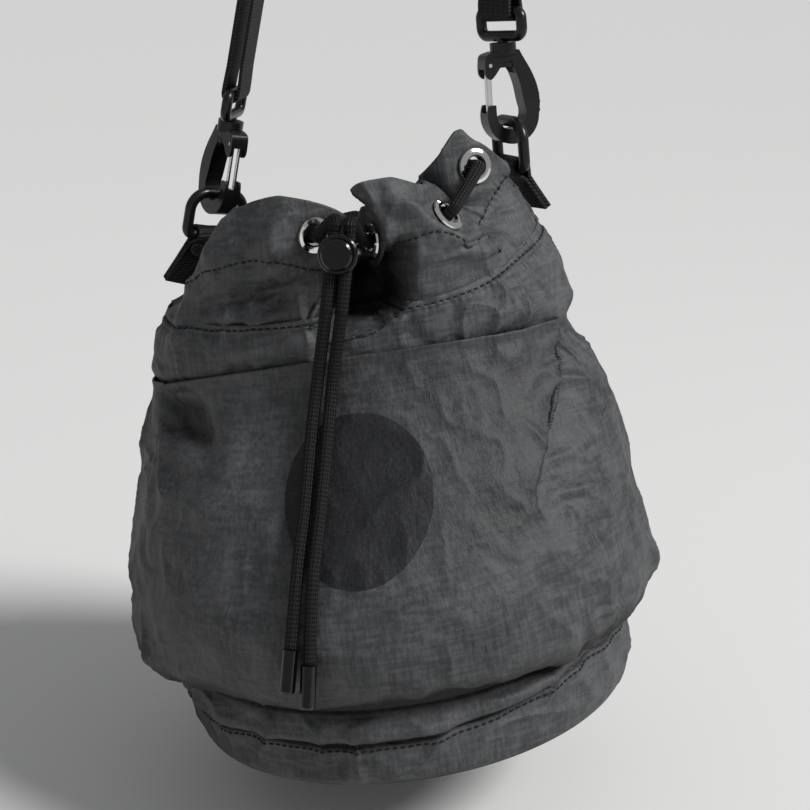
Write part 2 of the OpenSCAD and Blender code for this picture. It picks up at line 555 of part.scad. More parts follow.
module strap_slider() {
    color("#131313") on_leg(-1, 0, eye_bar_h + slider_h) {
        // Middle bar, behind the working ply, and the two outer bars in front of it.
        rotate([90, 0, 0]) cylinder(h = rod_gap + rail, d = rail, center = true, $fn = 24);
        for (z = [-1, 1]) translate([slider_bow, 0, z * slider_half])
            rotate([90, 0, 0]) cylinder(h = rod_gap + rail, d = rail, center = true, $fn = 24);
        for (y = [-1, 1]) translate([0, y * (rod_gap + rail) / 2, 0]) rotate([90, 0, 0])
            linear_extrude(rail, center = true)
                polygon([[-1.3, 0], [-0.9, -1], [slider_bow - 1.2, -slider_half - 0.9],
                         [slider_bow + 1.3, -slider_half], [1.5, 0],
                         [slider_bow + 1.3, slider_half], [slider_bow - 1.2, slider_half + 0.9],
                         [-0.9, 1]]);
    }
}
// A tab of webbing, sewn into the yoke seam and folded over the ring's lower bar.
tab_loop_r = ring_d / 2 + 1.6 * fit + web_t / 2;
module tab(s) {
    root = posed(seam(wrap(s * tab_a)) + [s * 4, 1, 5.5]);
    down = unit(root - bar(s));
    fold = bar_way(s, turn(s)) * s;
    out = unit(cross(fold, -down));
    reach = norm(root - bar(s));
    path = concat([for (h = [reach, reach * 0.6, tab_loop_r + 2.5]) bar(s) + down * h - out * ply],
        [for (i = [-1:7]) bar(s) - out * tab_loop_r * cos(30 * i) - down * tab_loop_r * sin(30 * i)],
        [for (h = [tab_loop_r + 2.5, reach * 0.6, reach]) bar(s) + down * h + out * ply]);
    bars = [for (i = [0:8]) fold];
    ends = [for (f = [1, 0.5, 0]) fold];
    color("#17181a") webbing(path, concat(ends, bars, [for (i = [2:-1:0]) ends[i]]), web_w - 1, web_t);
}

base_panel();
base_stiffener();
base_band();
body_back();
body_front();
front_pocket();
yoke();
collar();
eyelets();
eyelet_washers();
tab(-1);  // left_tab
tab(1);  // right_tab
drawstring();
cord_end(-1, LEFT_END);  // cord_end_left
cord_end(1, RIGHT_END);  // cord_end_right
cord_tip(LEFT_END);  // cord_tip_left
cord_tip(RIGHT_END);  // cord_tip_right
cord_lock_body();
cord_lock_button();
cord_lock_spring();
ring(-1);  // left_ring
ring(1);  // right_ring
hook(-1);  // left_hook
hook(1);  // right_hook
gate(-1);  // left_gate
gate(1);  // right_gate
swivel_eye(-1);  // left_swivel_eye
swivel_eye(1);  // right_swivel_eye
strap();
strap_slider();
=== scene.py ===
import math

import bmesh
import bpy
import numpy as np
from bpy.props import FloatProperty, IntProperty, PointerProperty
from mathutils import Matrix, Vector


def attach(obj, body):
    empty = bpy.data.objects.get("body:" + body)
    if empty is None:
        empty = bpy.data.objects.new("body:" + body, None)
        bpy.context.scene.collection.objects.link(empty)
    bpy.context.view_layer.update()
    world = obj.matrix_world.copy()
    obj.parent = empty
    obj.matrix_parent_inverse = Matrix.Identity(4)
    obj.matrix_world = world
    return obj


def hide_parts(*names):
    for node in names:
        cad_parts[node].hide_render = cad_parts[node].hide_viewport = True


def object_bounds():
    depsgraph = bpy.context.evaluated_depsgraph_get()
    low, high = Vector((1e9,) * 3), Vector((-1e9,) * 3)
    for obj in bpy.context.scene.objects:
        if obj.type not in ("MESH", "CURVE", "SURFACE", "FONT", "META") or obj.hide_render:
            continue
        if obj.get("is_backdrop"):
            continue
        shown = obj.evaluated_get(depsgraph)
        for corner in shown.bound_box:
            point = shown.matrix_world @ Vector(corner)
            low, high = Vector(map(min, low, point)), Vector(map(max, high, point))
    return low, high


bl_info = {
    "name": "Drawstring Bucket Bag",
    "version": (1, 0, 0),
    "blender": (4, 5, 0),
    "location": "View3D > Sidebar > Bag",
    "description": "Builds the cloth, cords, stitching and finishes of a hanging drawstring bag",
    "category": "Object",
}

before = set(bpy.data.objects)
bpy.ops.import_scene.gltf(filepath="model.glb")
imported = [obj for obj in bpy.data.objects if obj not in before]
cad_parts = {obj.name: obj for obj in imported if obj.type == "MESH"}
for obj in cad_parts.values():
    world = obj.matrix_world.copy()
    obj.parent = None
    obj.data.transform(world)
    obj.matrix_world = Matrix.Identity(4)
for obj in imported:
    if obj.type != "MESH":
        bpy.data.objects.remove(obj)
MM = 0.001
STITCH_THICK = 0.0008
LEFT, RIGHT = -1, 1


# ---- settings ----
def length(name, text, default, low, high, unit="LENGTH"):
    return FloatProperty(name=name, description=text, default=default, min=low, max=high, unit=unit)


def angle(name, text, degrees, low, high):
    return length(name, text, math.radians(degrees), low, high, "ROTATION")


class BagSizes(bpy.types.PropertyGroup):
    """Sizes of the cloth pieces"""

    base_r: length("Base radius", "Radius of the round base", 0.1, 0.08, 0.12)
    band_h: length("Band height", "Height of the band round the base", 0.034, 0.02, 0.05)
    blouse: length("Blouse", "How far the body blouses out past the base", 0.014, 0.005, 0.03)
    shoulder_z: length("Shoulder height", "Height of the seam on top of the body", 0.161, 0.12, 0.2)
    shoulder_r: length("Shoulder radius", "Radius at the shoulder seam", 0.092, 0.07, 0.11)
    yoke_h: length("Yoke height", "Height of the yoke above the body", 0.027, 0.015, 0.04)
    seam_r: length("Seam radius", "Radius at the seam under the collar", 0.083, 0.06, 0.1)
    collar_h: length("Collar height", "Height of the collar at its front folds", 0.05, 0.03, 0.07)
    cloth_t: length("Cloth thickness", "Thickness of one sewn panel", 0.0012, 0.0005, 0.002)
    front_flat: length("Front flatness", "How far the front is drawn back at its top", 0.34, 0, 0.5, "NONE")
    pocket_gap: length("Pocket gap", "Gap between the pocket and the body", 0.0012, 0.0005, 0.004)
    pocket_rise: length("Pocket rise", "How far the pocket stands above the shoulder", 0.003, 0, 0.01)
    pocket_half: angle("Pocket span", "Half of the angle that the pocket spans", 98, 1, 2)
    eyelet_drop: length("Eyelet drop", "Distance of the eyelets below the rim", 0.0145, 0.01, 0.02)
    flange_r: length("Flange radius", "Radius of an eyelet's flange", 0.0074, 0.005, 0.01)


class CordSizes(bpy.types.PropertyGroup):
    """Sizes of the drawstring and its lock"""

    diameter: length("Cord diameter", "Diameter of the drawstring", 0.005, 0.003, 0.006)
    lock_d: length("Lock diameter", "Diameter of the cord lock", 0.016, 0.012, 0.02)
    spacing: length("Cord spacing", "Half of the distance between the cords in the lock", 0.0031, 0.002, 0.005)
    straight: length("Straight run", "Straight run of the cords under the lock", 0.024, 0.01, 0.04)


class ClothLook(bpy.types.PropertyGroup):
    """Wrinkles, stitches and print of the cloth"""

    wrinkle: length("Wrinkle depth", "Depth of the soft wrinkles", 0.0026, 0, 0.01)
    crinkle: length("Crinkle depth", "Depth of the sharp crinkles", 0.0015, 0, 0.004)
    stitch_pitch: length("Stitch pitch", "Distance between stitches", 0.0032, 0.001, 0.006)
    stitch_long: length("Stitch length", "Length of one stitch", 0.0022, 0.001, 0.005)
    print_r: length("Print radius", "Radius of the plain printed disc", 0.030, 0.01, 0.05)
    seed: IntProperty(name="Seed", description="Seed of the wrinkles", default=7, min=0, max=99)


class StageSettings(bpy.types.PropertyGroup):
    """Place and lens of the camera"""

    azimuth: angle("Azimuth", "Camera angle round the bag", 8, -3.2, 3.2)
    distance: length("Distance", "Level distance of the camera from the base", 0.68, 0.3, 2)
    height: length("Height", "Height of the camera above the base", 0.345, 0, 1)
    pitch: angle("Pitch", "How far the camera looks down", 17.4, 0, 1)
    lens: length("Lens", "Focal length on a 36 mm sensor", 71.7, 20, 200, "CAMERA")


# ---- small maths, all in millimetres and degrees, in the upright bag's own axes ----
class Bag:
    """The bag's sizes in millimetres, its curves and its place in the frame."""

    # The gathered rim: place on the cloth, angle from the front, radius and height above the seam.
    RIM = [[0, 30, 26, 36], [18, 27, 43, 39], [30, 17, 58, 48], [42, 27, 60, 51], [54, 46, 58, 43],
           [72, 60, 42, 41], [90, 67, 57, 57], [98, 76, 61, 61], [112, 91, 67, 46], [126, 102, 65, 35],
           [144, 116, 52, 28], [162, 131, 64, 24], [180, 155, 66, 22], [198, 172, 49, 20],
           [216, 184, 31, 17], [234, 205, 47, 17], [252, 225, 58, 15], [270, 247, 45, 14],
           [288, 264, 34, 20], [306, 293, 47, 35], [318, 325, 53, 46], [330, 349, 55, 50],
           [342, 371, 47, 43]]
    RIM_R, RIM_H = 83, 50

    def __init__(self, context):
        sizes, cords = context.scene.bag_sizes, context.scene.bag_cords
        for group in (sizes, cords):
            for name in group.__annotations__:
                value = getattr(group, name)
                setattr(self, name, value if name in ("front_flat", "pocket_half") else value / MM)
        self.look = context.scene.bag_cloth
        self.pocket_half = math.degrees(self.pocket_half)
        self.seam_z = self.shoulder_z + self.yoke_h
        self.bulge_r = self.base_r + self.blouse
        self.slack_z = self.band_h + 34
        self.belly_z = self.band_h + 24
        knots = np.array(self.RIM, float)
        self.knot_m = knots[:, 0]
        self.knots = at_angle(knots[:, 1], knots[:, 2] * self.seam_r / self.RIM_R,
                              self.seam_z + knots[:, 3] * self.collar_h / self.RIM_H)
        self.eyelets = []
        for m in 18 + 36 * np.arange(10.0):
            long = np.linalg.norm(self.rim(m) - self.seam(m))
            t = self.eyelet_drop / long
            e = 0.02
            across = self.free_collar(m + 1.5, t) - self.free_collar(m - 1.5, t)
            down = self.free_collar(m, t) - self.free_collar(m, t + e)
            normal = np.cross(across, down)
            self.eyelets.append((m, t, long, self.free_collar(m, t), normal / np.linalg.norm(normal)))
        self.place = self.find_place()

    def find_place(self):
        """The bag's own axes in the frame, read from the flat base panel."""
        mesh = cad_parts["base_panel"].data
        co = np.array([v.co for v in mesh.vertices], float)
        centre = (co.max(0) + co.min(0)) / 2
        up = np.linalg.svd(co - co.mean(0))[2][2]
        up *= np.sign(up[2])
        thick = np.ptp((co - centre) @ up)
        side = np.array([up[2], 0, -up[0]])
        side /= np.linalg.norm(side)
        rows = Matrix.Identity(4)
        for i, axis in enumerate((side, np.cross(up, side), up)):
            for j in range(3):
                rows[j][i] = axis[j]
        rows.translation = Vector(centre - up * thick / 2)
        return rows

    def world(self, points):
        """Points of the bag, in millimetres, in the frame, in metres."""
        p = np.asarray(points, float) * MM
        m = np.array(self.place)
        return p @ m[:3, :3].T + m[:3, 3]

    def rim(self, m):
        m = np.asarray(m, float) % 360
        n = len(self.knots)
        i = np.searchsorted(self.knot_m, m, side="right") - 1
        start = self.knot_m[i]
        end = np.where(i == n - 1, 360.0, self.knot_m[(i + 1) % n])
        f = ((m - start) / (end - start))[..., None]
        return spline(*(self.knots[(i + k) % n] for k in (-1, 0, 1, 2)), f)

    def drape(self, a, r, z):
        a, r, z = np.broadcast_arrays(*(np.asarray(v, float) for v in (a, r, z)))
        k = ease((z - self.slack_z) / (self.shoulder_z - self.slack_z))
        c, s = np.cos(np.radians(a)), np.sin(np.radians(a))
        f = np.maximum(c, 0)
        return np.stack([r * s, -r * c * np.where(c > 0, 1 - self.front_flat * k, 1),
                         z + k * (8 * f * f + 4 * s)], -1)

    def seam(self, m):
        m = np.asarray(m, float)
        p = self.drape(m, self.seam_r - 6 * bump(m, 10, 17) - 3 * bump(m, 66, 12) - 3 * bump(m, 288, 14),
                       self.shoulder_z)
        return np.stack([p[..., 0], p[..., 1] * np.where(p[..., 1] < 0, 1.1, 1),
                         self.seam_z - 1 + 16 * bump(m, 96, 42)], -1)

    def free_collar(self, m, t):
        m, t = np.broadcast_arrays(np.asarray(m, float), np.asarray(t, float))
        a, b = self.rim(m), self.seam(m)
        return a + (b - a) * t[..., None] + (3 * np.sin(np.pi * t))[..., None] * outward(m)

    def collar(self, m, t):
        p = self.free_collar(m, t)
        for em, et, long, centre, normal in self.eyelets:
            far = self.from_eyelet(m, t, em, et, long)
            w = 0.97 * (1 - ease((far - self.flange_r - 4) / 9))
            p = p - (w * ((p - centre) @ normal))[..., None] * normal
        return p

    def from_eyelet(self, m, t, eyelet_m, eyelet_t, long):
        """Distance over the cloth from an eyelet's centre."""
        return np.hypot(np.radians(signed(m - eyelet_m)) * 0.8 * self.seam_r, (t - eyelet_t) * long)

    def yoke(self, m, t):
        m, t = np.broadcast_arrays(np.asarray(m, float), np.asarray(t, float))
        a, b = self.seam(m), self.drape(m, self.shoulder_r - 1, self.shoulder_z)
        return a + (b - a) * t[..., None] + (2.5 * np.sin(np.pi * t))[..., None] * outward(m)

    def waisted(self, grid, m):
        """The body drawn in just under the yoke, at its sides and back."""
        m = m + 0 * grid[..., 0]
        pull = 4.2 * ease((np.abs(signed(m)) - 50) / 30) * ease((grid[..., 2] - 134) / 28)
        return grid - pull[..., None] * outward(m)

    def cave(self, m, h):
        """Depth of the dark hollow behind the cords; h runs from 0 at the rim by 1 at the seam to 2."""
        d = signed(m)
        edge = 38 - 30 * np.maximum(h - 0.55, 0)
        side = ease((d + 4) / 9) * (1 - ease((d - edge + 3) / 4))
        return 30 * side * ease((h - 0.42) / 0.22) * (1 - ease((h - 1.02) / 0.42))

    def folds(self, m, h):
        """Folds of the gathered cloth, given one by one, outward, in millimetres."""
        d = signed(m)

        def fold(deep, dm, wide, dh, tall, lean=0.0):
            return deep * np.exp(-((d - dm) / wide) ** 2 - ((h - dh - lean * (d - dm)) / tall) ** 2)

        return (fold(-6.5, -26, 14, 0.76, 0.085, -0.004) + fold(3.0, -23, 12, 0.93, 0.07)
                + fold(-3.0, -46, 5, 0.8, 0.3) + fold(1.6, -52, 4, 0.9, 0.4)
                + fold(-2.6, 56, 9, 0.68, 0.05, 0.004) + fold(2.0, 60, 9, 0.77, 0.05, 0.004)
                + fold(-2.2, 78, 8, 0.62, 0.07, -0.006) + fold(-2.0, 47, 5, 0.85, 0.12)
                + fold(-1.5, 66, 12, 1.45, 0.14, 0.006) + fold(1.6, 60, 14, 1.68, 0.12, 0.004)
                + fold(-1.6, -55, 9, 1.7, 0.16) + fold(1.6, -20, 14, 1.5, 0.2)
                + fold(-2.4, 130, 9, 0.8, 0.3) + fold(-2.6, 200, 12, 0.8, 0.3) + fold(-2.4, 255, 9, 0.8, 0.3))

    def gathered(self, grid, m, h, calm=1.0):
        """The grid with the hollow and the folds pressed in."""
        m, h = np.broadcast_arrays(m, h)
        return grid + ((self.folds(m, h) - self.cave(m, h)) * calm)[..., None] * outward(m)

    def calm(self, m, t, near=3.0, wide=9.0):
        """0 beside an eyelet, 1 away from all of them."""
        m, t = np.broadcast_arrays(m, t)
        best = np.ones(m.shape)
        for em, et, long, _, _ in self.eyelets:
            far = self.from_eyelet(m, t, em, et, long)
            best = np.minimum(best, ease((far - self.flange_r - near) / wide))
        return best

    def outline(self, rows, low=0):
        """The body's outline from knot number low up, as rows of radius and height."""
        b, lip = self.band_h, self.band_h + 10
        top = [[self.shoulder_r + (self.bulge_r - self.shoulder_r) * math.cos(math.pi / 16 * i),
                self.belly_z + (self.shoulder_z - self.belly_z) * i / 8] for i in range(9)]
        knots = np.array([[self.base_r - 0.9, b + 0.3], [self.base_r - 0.6, b + 5], [self.base_r + 3, lip - 1.5],
                          [self.bulge_r - 7, lip], [self.bulge_r - 2, lip + 4.5]] + top)[low:]
        return along(knots, rows)


def at_angle(a, r, z):
    """Points at angles from the front, radii and heights."""
    a = np.radians(a)
    return np.stack([r * np.sin(a), -r * np.cos(a), z], -1)


def outward(m):
    """Level directions away from the bag's axis."""
    return at_angle(m, np.ones_like(m, float), np.zeros_like(m, float))


def signed(m):
    """The angle from the front, from -180 to 180."""
    return (np.asarray(m) + 180) % 360 - 180


def ease(f):
    """0 below 0, 1 above 1, and a soft step between."""
    g = np.clip(f, 0, 1)
    return g * g * (3 - 2 * g)


def bump(a, mid, wide):
    """A round bump of height 1 on the circle."""
    d = (np.asarray(a) - mid + 540) % 360 - 180
    return np.exp(-d * d / (wide * wide))


def spline(a, b, c, d, f):
    """The smooth curve through four points, between the middle two."""
    return 0.5 * (2 * b + (c - a) * f + (2 * a - 5 * b + 4 * c - d) * f * f
                  + (3 * b - a - 3 * c + d) * f ** 3)


def smooth_open(points, n):
    """A smooth open line through the points, n steps for each run."""
    p = np.asarray(points, float)
    q = np.vstack([p[:1], p, p[-1:]])
    f = np.linspace(0, 1, n, endpoint=False)[:, None]
    runs = [spline(q[i], q[i + 1], q[i + 2], q[i + 3], f) for i in range(len(p) - 1)]
    return np.vstack(runs + [p[-1:]])


def along(points, n):
    """A smooth line through the points, as n evenly spaced ones."""
    line = smooth_open(points, 12)
    far = np.concatenate([[0], np.cumsum(np.linalg.norm(np.diff(line, axis=0), axis=1))])
    want = np.linspace(0, far[-1], n)
    return np.stack([np.interp(want, far, line[:, k]) for k in range(line.shape[1])], -1)


def speckle(p, seed):
    """Smooth noise from 0 to 1 at points, with a period of about one unit."""
    base = np.floor(p)
    f = p - base
    f = f * f * (3 - 2 * f)
    total = 0
    for corner in range(8):
        o = np.array([corner & 1, corner >> 1 & 1, corner >> 2 & 1])
        q = base + o
        h = np.sin(q @ np.array([12.9898, 78.233, 37.719]) + seed * 3.17) * 43758.5453
        weight = np.prod(np.where(o, f, 1 - f), -1)
        total = total + (h - np.floor(h)) * weight
    return total


def ridge(p, seed):
    """Noise with sharp crests."""
    return 1 - np.abs(2 * speckle(p, seed) - 1)


def normals_of(grid, closed):
    """Outward normals of a grid whose rows run downwards and whose columns run on round the bag."""
    if closed:
        across = np.roll(grid, -1, 1) - np.roll(grid, 1, 1)
    else:
        across = np.gradient(grid, axis=1)
    n = np.cross(np.gradient(grid, axis=0), across)
    return n / np.maximum(np.linalg.norm(n, axis=-1, keepdims=True), 1e-9)


def pushed(grid, depth, closed=True):
    """The grid moved outwards by depth, in millimetres."""
    return grid + np.asarray(depth)[..., None] * normals_of(grid, closed)


def wrinkled(grid, look, amount, normals=None):
    """Cloth with soft wrinkles and sharper crinkles, in millimetres."""
    normals = normals_of(grid, True) if normals is None else normals
    s, crinkle = look.seed, look.crinkle / MM
    warp = np.stack([speckle(grid / 26 + k * 9.7, s + k) for k in range(3)], -1) - 0.5
    p = grid + warp * 16
    depth = (speckle(p / [34, 34, 44], s + 4) - 0.5) * look.wrinkle / MM * 1.6
    depth += (ridge(p / [17, 17, 27], s + 5) - 0.6) * crinkle
    depth += (ridge(p / [31, 31, 9], s + 6) - 0.6) * crinkle * 0.7
    depth += (ridge(p / [12, 12, 19], s + 9) ** 3 - 0.35) * crinkle * 0.9
    depth += (ridge(p / 7.5, s + 8) - 0.6) * crinkle * 0.34
    return grid + (depth * amount)[..., None] * normals


def at_row(grid, rows, want):
    """Points of each column where its row value, as rows lists them, is the wanted one."""
    want = np.broadcast_to(want, grid.shape[1:2])
    i = np.clip(np.searchsorted(rows, want) - 1, 0, len(rows) - 2)
    f = ((want - rows[i]) / (rows[i + 1] - rows[i]))[:, None]
    cols = np.arange(grid.shape[1])
    return grid[i, cols] * (1 - f) + grid[i + 1, cols] * f


def ring(points):
    """The line, closed."""
    return np.vstack([points, points[:1]])


def crease(grid, line, wide, deep):
    """How far a crease along the line moves each point outwards, in millimetres."""
    line = smooth_open(line, 8)
    best = np.full(grid.shape[:-1], 1e9)
    for a, b in zip(line[:-1], line[1:]):
        d = b - a
        f = np.clip(((grid - a) @ d) / (d @ d), 0, 1)
        best = np.minimum(best, np.linalg.norm(grid - (a + f[..., None] * d), axis=-1))
    return deep * np.exp(-(best / wide) ** 2)


# ---- meshes ----
def added(name, data):
    """A new object in the scene."""
    obj = bpy.data.objects.new(name, data)
    bpy.context.collection.objects.link(obj)
    return obj


def mesh_object(name, verts, faces, material, uv=None, layers=None):
    mesh = bpy.data.meshes.new(name)
    mesh.from_pydata([tuple(v) for v in verts], [], faces)
    if uv is not None:
        layer = mesh.uv_layers.new(name="UVMap")
        loops = np.empty(len(mesh.loops), int)
        mesh.loops.foreach_get("vertex_index", loops)
        layer.data.foreach_set("uv", np.asarray(uv, float)[loops].ravel())
    for key, values in (layers or {}).items():
        mesh.attributes.new(key, "FLOAT_VECTOR", "POINT").data.foreach_set("vector", np.ravel(values))
    mesh.materials.append(material)
    mesh.shade_smooth()
    mesh.validate()
    return added(name, mesh)


def sheet_object(name, bag, grid, closed, thick, material, shade=0.0):
    """A sewn sheet from a grid of rows by columns, in the bag's millimetres, with an inner face.
    Its shade is painted shade: how far each point's colour is darkened, from 0 to 1, where it is shut in from the
    light."""
    rows, cols = grid.shape[:2]
    skins = [grid, grid - normals_of(grid, closed) * thick] if thick else [grid]
    verts = np.concatenate([skin.reshape(-1, 3) for skin in skins])
    wide = cols if closed else cols - 1
    j, i = np.meshgrid(np.arange(rows - 1), np.arange(wide), indexing="ij")
    a, b = j * cols + i, j * cols + (i + 1) % cols
    quads = np.stack([a, a + cols, b + cols, b], -1).reshape(-1, 4)
    parts = [quads]
    if thick:
        n, last = rows * cols, (rows - 1) * cols
        k = np.arange(wide)
        l = (k + 1) % cols
        parts += [quads[:, ::-1] + n, np.stack([k, l, l + n, k + n], -1),
                  np.stack([l, k, k + n, l + n], -1) + last]
        if not closed:
            s = np.arange(rows - 1) * cols
            e = s + cols - 1
            parts += [np.stack([s + n, s + cols + n, s + cols, s], -1),
                      np.stack([e + cols + n, e + n, e, e + cols], -1)]
    local = np.concatenate([grid.reshape(-1, 3)] * len(skins))
    dark = np.broadcast_to(shade, (rows, cols)).reshape(-1, 1).repeat(3, 1)
    return mesh_object(name, bag.world(verts), np.concatenate(parts).tolist(), material,
                       layers={"cloth": local * MM, "shade": np.concatenate([dark] * len(skins))})


def tube_object(name, points, diameter, material, sides=16):
    """A round tube along points, in metres, with UV round it and, in diameters, along it."""
    p = np.asarray(points, float)
    tangents = np.gradient(p, axis=0)
    tangents /= np.linalg.norm(tangents, axis=1, keepdims=True)
    u = np.array([0.3, 0.9, 0.2])
    verts, uvs = [], []
    far = np.concatenate([[0], np.cumsum(np.linalg.norm(np.diff(p, axis=0), axis=1))])
    for q, t, s in zip(p, tangents, far):
        u = u - (u @ t) * t
        u /= np.linalg.norm(u)
        w = np.cross(t, u)
        for k in range(sides + 1):
            a = 2 * math.pi * k / sides
            verts.append(q + diameter / 2 * (math.cos(a) * u + math.sin(a) * w))
            uvs.append((k / sides, s / diameter))
    faces, n = [], sides + 1
    for r in range(len(p) - 1):
        for k in range(sides):
            a = r * n + k
            faces.append((a, a + 1, a + 1 + n, a + n))
    for r, order in ((0, -1), (len(p) - 1, 1)):
        faces.append(tuple(r * n + k for k in range(sides))[::order])
    return mesh_object(name, verts, faces, material, uv=uvs)


def stitch_tree(name, pitch, stitch, material):
    """Stitches laid along a curve, as a node tree with a named input for their distance."""
    tree = bpy.data.node_groups.new(name, "GeometryNodeTree")
    tree.interface.new_socket("Geometry", in_out="INPUT", socket_type="NodeSocketGeometry")
    gap = tree.interface.new_socket("Pitch", in_out="INPUT", socket_type="NodeSocketFloat")
    gap.default_value = pitch
    tree.interface.new_socket("Geometry", in_out="OUTPUT", socket_type="NodeSocketGeometry")
    add = tree.nodes.new
    start, end = add("NodeGroupInput"), add("NodeGroupOutput")
    sample, tangent = add("GeometryNodeResampleCurve"), add("GeometryNodeInputTangent")
    align, place = add("FunctionNodeAlignRotationToVector"), add("GeometryNodeInstanceOnPoints")
    real, paint = add("GeometryNodeRealizeInstances"), add("GeometryNodeSetMaterial")
    info = add("GeometryNodeObjectInfo")
    sample.mode = "LENGTH"
    align.axis = "X"
    info.inputs["Object"].default_value = stitch
    paint.inputs["Material"].default_value = material
    for a, b in ((start.outputs["Geometry"], sample.inputs["Curve"]),
                 (start.outputs["Pitch"], sample.inputs["Length"]),
                 (tangent.outputs[0], align.inputs["Vector"]),
                 (sample.outputs["Curve"], place.inputs["Points"]),
                 (info.outputs["Geometry"], place.inputs["Instance"]),
                 (align.outputs[0], place.inputs["Rotation"]),
                 (place.outputs[0], real.inputs[0]),
                 (real.outputs[0], paint.inputs["Geometry"]),
                 (paint.outputs[0], end.inputs[0])):
        tree.links.new(a, b)
    return tree


def stitched(name, line, look, material):
    """One mesh of stitches along a line of points, in metres."""
    curve = bpy.data.curves.new(name + "_line", "CURVE")
    curve.dimensions = "3D"
    part = curve.splines.new("POLY")
    part.points.add(len(line) - 1)
    for point, co in zip(part.points, line):
        point.co = (*co, 1)
    path = added(name + "_line", curve)
    stitch = rod_object(name + "_one", look.stitch_long, STITCH_THICK)
    mod = path.modifiers.new("Stitches", "NODES")
    mod.node_group = stitch_tree(name + "_nodes", look.stitch_pitch, stitch, material)
    graph = bpy.context.evaluated_depsgraph_get()
    mesh = bpy.data.meshes.new_from_object(path.evaluated_get(graph), depsgraph=graph)
    mesh.name = name
    for used in (path, stitch):
        bpy.data.objects.remove(used)
    if not mesh.polygons:
        raise RuntimeError(f"{name}: no stitches were made")
    mesh.shade_smooth()
    if not mesh.materials:
        mesh.materials.append(material)
    return added(name, mesh)


def thread(bag, name, line):
    """Stitches of the dark thread round the bag, along a line in its millimetres."""
    obj = stitched(name, bag.world(ring(line)), bag.look, finish_named("thread_dark"))
    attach(obj, "bag")


def sewn_on(obj, *nodes):
    """The cloth takes the place of the nodes and rides with the bag."""
    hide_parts(*nodes)
    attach(obj, "bag")


def rod_object(name, long, thick):
    """One stitch: a short rod along X with tapered ends."""
    verts, faces = [], []
    for x, r in ((-0.5, 0.35), (-0.32, 1), (0.32, 1), (0.5, 0.35)):
        for k in range(6):
            a = math.pi / 3 * k
            verts.append((x * long, math.cos(a) * r * thick / 2, math.sin(a) * r * thick / 2))
    for r in range(3):
        for k in range(6):
            faces.append((r * 6 + k, r * 6 + (k + 1) % 6, r * 6 + 6 + (k + 1) % 6, r * 6 + 6 + k))
    faces += [tuple(range(5, -1, -1)), tuple(range(18, 24))]
    mesh = bpy.data.meshes.new(name)
    mesh.from_pydata(verts, [], faces)
    return added(name, mesh)


# ---- materials ----
class Value:
    """A shader value that takes part in sums."""

    def __init__(self, tree, socket):
        self.tree, self.socket = tree, socket

    def _math(self, kind, *terms):
        node = self.tree.nodes.new("ShaderNodeMath")
        node.operation = kind
        for term, socket in zip(terms, node.inputs):
            if isinstance(term, Value):
                self.tree.links.new(term.socket, socket)
            else:
                socket.default_value = term
        return Value(self.tree, node.outputs[0])

    def __add__(self, other):
        return self._math("ADD", self, other)

    def __sub__(self, other):
        return self._math("SUBTRACT", self, other)

    def __rsub__(self, other):
        return self._math("SUBTRACT", other, self)

    def __mul__(self, other):
        return self._math("MULTIPLY", self, other)

    def __pow__(self, other):
        return self._math("POWER", self, other)

    def __gt__(self, other):
        return self._math("GREATER_THAN", self, other)

    __radd__, __rmul__ = __add__, __mul__

    def sine(self):
        return self._math("SINE", self)

    def spread(self, low, high):
        """0 at low and 1 at high, and no further."""
        node = self.tree.nodes.new("ShaderNodeMapRange")
        self.tree.links.new(self.socket, node.inputs["Value"])
        node.inputs["From Min"].default_value, node.inputs["From Max"].default_value = low, high
        return Value(self.tree, node.outputs["Result"])


